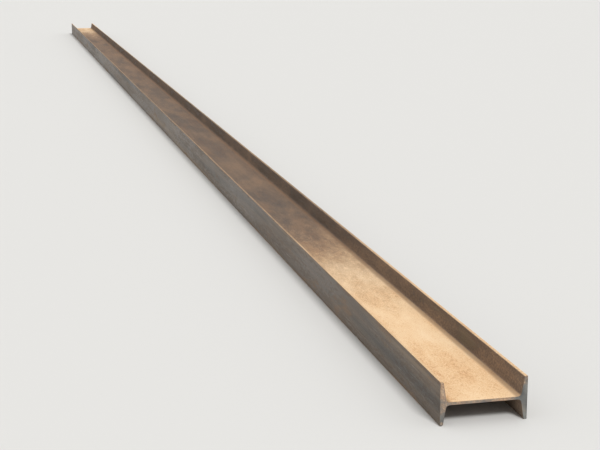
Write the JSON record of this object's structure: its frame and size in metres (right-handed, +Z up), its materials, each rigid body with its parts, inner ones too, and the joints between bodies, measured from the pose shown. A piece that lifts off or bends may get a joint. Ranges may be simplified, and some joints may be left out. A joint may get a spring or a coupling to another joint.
{
  "type": "hot-rolled steel i-beam",
  "caption": "Straight hot-rolled steel I-beam bar with tapered flanges, rounded roots and toes and square sawn ends, lying on its flange toes with the web level.",
  "frame": {"origin": "on the floor under the middle of the bar, halfway along its length and halfway between its flanges", "axes": "+X along the bar, +Y across the section's depth from flange to flange, +Z up along the flanges' width"},
  "size_m": [12, 0.22, 0.11],
  "materials": {
    "hot_rolled_steel": "dull hot-rolled mill scale with thin rust, and saw-cut ends"
  },
  "bodies": {
    "root": {"i_beam": "hot_rolled_steel"}
  },
  "joints": []
}
